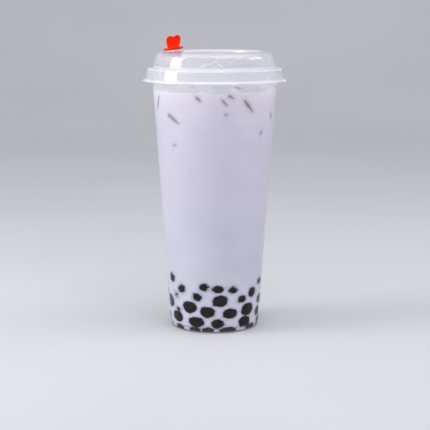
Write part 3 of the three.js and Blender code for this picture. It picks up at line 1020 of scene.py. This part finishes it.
def sphere_grid(rings, sides):
    """Unit sphere points and faces, its poles on the Y axis."""
    points = [(0.0, -1.0, 0.0)]
    for r in range(1, rings):
        polar = math.pi * r / rings
        for s in range(sides):
            around = 2 * math.pi * s / sides
            points.append((
                math.sin(polar) * math.cos(around),
                -math.cos(polar),
                math.sin(polar) * math.sin(around),
            ))
    points.append((0.0, 1.0, 0.0))
    faces = [(0, 1 + s, 1 + (s + 1) % sides) for s in range(sides)]
    for r in range(rings - 2):
        low, high = 1 + r * sides, 1 + (r + 1) * sides
        faces += [(low + s, high + s, high + (s + 1) % sides, low + (s + 1) % sides) for s in range(sides)]
    low, last = 1 + (rings - 2) * sides, len(points) - 1
    faces += [(low + s, last, low + (s + 1) % sides) for s in range(sides)]
    return np.array(points), faces


def lumpy(points, centre, amount, scale):
    """Pushes points in and out along their direction from a centre by smooth noise."""
    moved = np.empty_like(points)
    for i, point in enumerate(points):
        arm = point - centre
        value = noise.noise(Vector(point) * scale) + 0.5 * noise.noise(Vector(point) * scale * 2.3)
        moved[i] = centre + arm * (1 + amount * value)
    return moved


def kept_inside(points, into_wall):
    """Draws what lies past the cup's inner surface back to it, less a small overlap."""
    limit = contents_wall(points[:, 2]) + into_wall
    out = np.hypot(points[:, 0], points[:, 1])
    points[:, :2] *= np.minimum(1, limit / out)[:, None]
    return points


def joined_balls(name, balls, ball_faces):
    """One smooth object from balls that all have the same faces."""
    size = len(balls[0])
    faces = [tuple(i + k * size for i in face) for k in range(len(balls)) for face in ball_faces]
    return smooth(face_outwards(new_object(name, np.vstack(balls), faces)), 70)


def pearl_points(place, ball):
    """A lumpy pearl whose pressed spot on the wall has the width and tallness given."""
    azimuth, height, width, tall = place
    radius = max(PEARL_RADIUS, width / 2 + PEARL_MARGIN)
    depth = math.sqrt(radius ** 2 - (width / 2) ** 2)
    reach = float(inner_wall(height)) - depth
    points = ball * (radius, radius, radius * tall / width)
    centre = round_place(azimuth, reach, height)
    points = points @ round_turn(azimuth).T + centre
    for amount, scale in PEARL_LUMPS:
        points = lumpy(points, centre, amount, scale)
    points[:, 2] = np.maximum(points[:, 2], FLOOR_TOP + PEARL_FLOOR_GAP)
    return kept_inside(points, PEARL_INTO_WALL)


def make_pearls(material):
    """Makes the pearls and gives back the points of each."""
    ball, ball_faces = sphere_grid(*PEARL_GRID)
    balls = [pearl_points(place, ball) for place in pearl_places()]
    piece = joined_balls("pearls_tapioca", balls, ball_faces)
    piece.data.materials.append(material)
    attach(piece, "root")
    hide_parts("pearls")
    return balls


# Ice
def rounded_cube(size, steps=10):
    """A cube of a grid on each side, drawn round at its edges."""
    half = size / 2
    marks = np.linspace(-1, 1, steps + 1) * half
    points, faces = [], []
    for axis in range(3):
        for side in (-half, half):
            first = len(points)
            for a in marks:
                for b in marks:
                    point = [0.0, 0.0, 0.0]
                    point[axis] = side
                    point[(axis + 1) % 3] = a
                    point[(axis + 2) % 3] = b
                    points.append(point)
            for i in range(steps):
                for j in range(steps):
                    here = first + i * (steps + 1) + j
                    faces.append((here, here + 1, here + steps + 2, here + steps + 1))
    points = np.array(points)
    inner = np.clip(points, -half + CUBE_ROUNDING, half - CUBE_ROUNDING)
    arm = points - inner
    length = np.linalg.norm(arm, axis=1)[:, None]
    return inner + arm / np.maximum(length, 1e-9) * CUBE_ROUNDING, faces


def cube_places():
    """Name, centre and spin of each cube: a ring of them and one in the middle."""
    draw = make_draw(DRINK_SEED + 1)
    places = []
    for i in range(CUBE_COUNT + 1):
        azimuth = FIRST_CUBE_AZIMUTH + 360 * i / CUBE_COUNT
        radius = CUBE_RING_RADIUS if i < CUBE_COUNT else 0
        sunk = draw(*CUBE_SUNK)
        tilts = [draw(-CUBE_TILT, CUBE_TILT) for _ in range(2)]
        twist = draw(-CUBE_TWIST, CUBE_TWIST) - math.radians(azimuth)
        places.append((f"ice_{i + 1}", round_place(azimuth, radius, MILK_LEVEL - sunk), (*tilts, twist)))
    return places


def spin_matrix(spin):
    """The turn of an X, then Y, then Z rotation about the piece's own axes."""
    x, y, z = (Matrix.Rotation(angle, 3, axis) for angle, axis in zip(spin, "XYZ"))
    return np.array(x @ y @ z)


def cube_object(name, centre, spin, grow=0):
    """A half melted cube, grown by a distance on every side."""
    points, faces = rounded_cube(CUBE_SIZE + 2 * grow)
    points = lumpy(points, np.zeros(3), *CUBE_LUMPS)
    points = points @ spin_matrix(spin).T + centre
    return face_outwards(new_object(name, points, faces), MERGE_DISTANCE)


def make_ice(material):
    for name, centre, spin in cube_places():
        piece = cube_object(name + "_clear", centre, spin)
        smooth(piece, 60)
        piece.data.materials.append(material)
        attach(piece, "root")
        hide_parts(name)


def sliver_points(place, ball):
    """A flat lump of ice that shows at the wall as a slanting sliver."""
    azimuth, height, length, width, slant = place
    tip = math.radians(slant)
    points = ball * (SLIVER_LENGTH_SHARE * length, SLIVER_DEPTH, SLIVER_WIDTH_SHARE * width)
    points[:, 2] *= 1 - SLIVER_TAPER * points[:, 0] / length
    lean = np.array([
        [math.cos(tip), 0, -math.sin(tip)],
        [0, 1, 0],
        [math.sin(tip), 0, math.cos(tip)],
    ])
    reach = float(inner_wall(height)) - SLIVER_BEHIND_WALL
    centre = round_place(azimuth, reach, height)
    points = points @ lean.T @ round_turn(azimuth).T + centre
    return kept_inside(lumpy(points, centre, *SLIVER_LUMPS), ICE_INTO_WALL)


def make_sunk_ice(material):
    """Makes the slivers of ice and gives back the points of each."""
    ball, ball_faces = sphere_grid(*SLIVER_GRID)
    balls = [sliver_points(place, ball) for place in ICE_SLIVERS]
    piece = joined_balls("sunk_ice_edges", balls, ball_faces)
    piece.data.materials.append(material)
    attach(piece, "root")
    return balls


# The drink
def milk_profile():
    """The milk's bottom, its side along the cup's wall, its meniscus and its top."""
    bottom = FLOOR_TOP - MILK_INTO_WALL
    low = [(0.0, bottom)]
    low += [(r, bottom) for r in np.linspace(4, 27.5, 7)]
    rise = np.concatenate([np.arange(*span) for span in MILK_ROWS])
    wall = [(float(contents_wall(z)) + MILK_INTO_WALL, float(z)) for z in rise]
    edge = inner_wall(MILK_LEVEL)
    meniscus = [(edge - inwards, MILK_LEVEL + up) for inwards, up in MENISCUS]
    top = [(float(r), MILK_LEVEL) for r in np.linspace(edge - 4, 2, 12)]
    return low + wall + meniscus + top + [(0.0, MILK_LEVEL)]


def near_shade(points, things, strength, fade):
    """How strongly painted shade darkens the milk in front of things just behind the wall."""
    cloud = np.vstack(things)
    tree = KDTree(len(cloud))
    for i, point in enumerate(cloud):
        tree.insert(Vector(point), i)
    tree.balance()
    values = np.zeros(len(points))
    out = np.hypot(points[:, 0], points[:, 1])
    near_wall = out > contents_wall(points[:, 2]) - SHADE_BAND
    for i in np.nonzero(near_wall)[0]:
        _, _, distance = tree.find(Vector(points[i]))
        values[i] = strength * math.exp(-(distance / fade) ** SHADE_FALL)
    return values


def step_shade(points):
    """Painted shade: a darker line at the foot's step, and slightly darker milk below it."""
    strength, fade = STEP_SHADE
    line = strength * np.exp(-((points[:, 2] - STEP_HEIGHT) / fade) ** 2)
    return np.maximum(line, BELOW_STEP_SHADE * (points[:, 2] < STEP_HEIGHT))


def paint_shade(piece, pearls, slivers):
    """Stores how much painted shade darkens the milk at each point."""
    points = np.array([v.co[:] for v in piece.data.vertices]) / MM
    painted_shade = step_shade(points)
    painted_shade = np.maximum(painted_shade, near_shade(points, pearls, *PEARL_SHADE))
    painted_shade = np.maximum(painted_shade, near_shade(points, slivers, *SLIVER_SHADE))
    layer = piece.data.attributes.new("painted_shade", "FLOAT", "POINT")
    layer.data.foreach_set("value", painted_shade.astype(np.float32))


def make_milk(material, pearls, slivers):
    piece = turned("drink_milk", milk_profile(), evenly_round(MILK_STEPS))
    face_outwards(piece)
    cut(piece, [cube_object("tool", centre, spin, CUBE_CLEARANCE) for _, centre, spin in cube_places()])
    paint_shade(piece, pearls, slivers)
    piece.data.materials.clear()
    piece.data.materials.append(material)
    smooth(piece, 60)
    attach(piece, "root")
    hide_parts("drink")


# Stage: a pale floor that rises into a backdrop, lamps and the camera
def floor_material():
    """Plain pale paper."""
    material, nodes, links, shader, _ = new_material("floor_paper")
    texture = noise_texture(nodes, links, 3, detail=4)
    colours = ramp(nodes, links, texture.outputs[0], [
        (0.3, linear(214, 214, 218)),
        (0.7, linear(220, 220, 224)),
    ])
    links.new(colours.outputs[0], shader.inputs["Base Color"])
    shader.inputs["Roughness"].default_value = 0.8
    return material


def make_floor():
    sweep = [(-FLOOR_REACH, 0.0), (PAPER_BEND_START, 0.0)]
    for angle in np.linspace(0.1, math.pi / 2, 12):
        back = PAPER_BEND_START + PAPER_BEND * math.sin(angle)
        sweep.append((back, PAPER_BEND - PAPER_BEND * math.cos(angle)))
    sweep.append((PAPER_BEND_START + PAPER_BEND, PAPER_TOP))
    points, faces = [], []
    for y, z in sweep:
        points += [(side / MM, y / MM, z / MM) for side in (-FLOOR_REACH, FLOOR_REACH)]
    for k in range(len(sweep) - 1):
        faces.append((2 * k, 2 * k + 1, 2 * k + 3, 2 * k + 2))
    floor = new_object("floor", points, faces)
    smooth(floor, 60)
    floor.data.materials.append(floor_material())


def add_lamp(name, azimuth, elevation, distance, size, power):
    """A rectangular lamp that faces the drink's top from an azimuth and elevation."""
    target = Vector((0, 0, LAMP_TARGET))
    a, e = math.radians(azimuth), math.radians(elevation)
    away = Vector((math.sin(a) * math.cos(e), -math.cos(a) * math.cos(e), math.sin(e)))
    light = bpy.data.lights.new(name, "AREA")
    light.shape = "RECTANGLE"
    light.size, light.size_y = size
    light.energy = power
    lamp = bpy.data.objects.new(name, light)
    lamp.location = target + away * distance
    lamp.rotation_euler = (-away).to_track_quat("-Z", "Y").to_euler()
    bpy.context.scene.collection.objects.link(lamp)


def make_world():
    """Pale surroundings, darker towards the two sides."""
    world = bpy.data.worlds.new("studio")
    world.use_nodes = True
    nodes, links = world.node_tree.nodes, world.node_tree.links
    shade = nodes["Background"]
    place = nodes.new("ShaderNodeTexCoord")
    axes = nodes.new("ShaderNodeSeparateXYZ")
    links.new(place.outputs["Generated"], axes.inputs[0])
    share = nodes.new("ShaderNodeMath")
    share.operation = "MULTIPLY_ADD"
    share.inputs[1].default_value = 0.5
    share.inputs[2].default_value = 0.5
    links.new(axes.outputs["X"], share.inputs[0])
    sides = ramp(nodes, links, share.outputs[0], [
        (0.0, (0.6, 0.6, 0.63)),
        (0.2, (0.95, 0.95, 0.99)),
        (0.75, (0.95, 0.95, 0.99)),
        (0.95, (0.35, 0.35, 0.38)),
    ])
    links.new(sides.outputs[0], shade.inputs[0])
    shade.inputs[1].default_value = WORLD_STRENGTH
    bpy.context.scene.world = world


def make_camera():
    """The photograph's view: from the front, a little above, through a long lens."""
    data = bpy.data.cameras.new("camera")
    data.sensor_width = 36
    data.lens = CAMERA_LENS
    data.clip_end = 20
    camera = bpy.data.objects.new("camera", data)
    camera.location = [value * MM for value in CAMERA_PLACE]
    camera.rotation_euler = (math.radians(90 - CAMERA_PITCH), 0, 0)
    bpy.context.scene.collection.objects.link(camera)
    bpy.context.scene.camera = camera


make_camera()
for lamp_name, settings in LAMPS.items():
    add_lamp(lamp_name, *settings)
make_world()
make_floor()
bpy.context.scene.view_settings.view_transform = "Standard"

make_cup(clouded_plastic("clear_cup", (0.97, 0.975, 0.98), 1.3))
make_lid(clouded_plastic("clear_lid", (0.96, 0.955, 0.985), 1.49))
make_stopper(stopper_material())
pearls = make_pearls(tapioca_material())
make_ice(ice_material())
slivers = make_sunk_ice(sunk_ice_material())
make_milk(milk_material(), pearls, slivers)
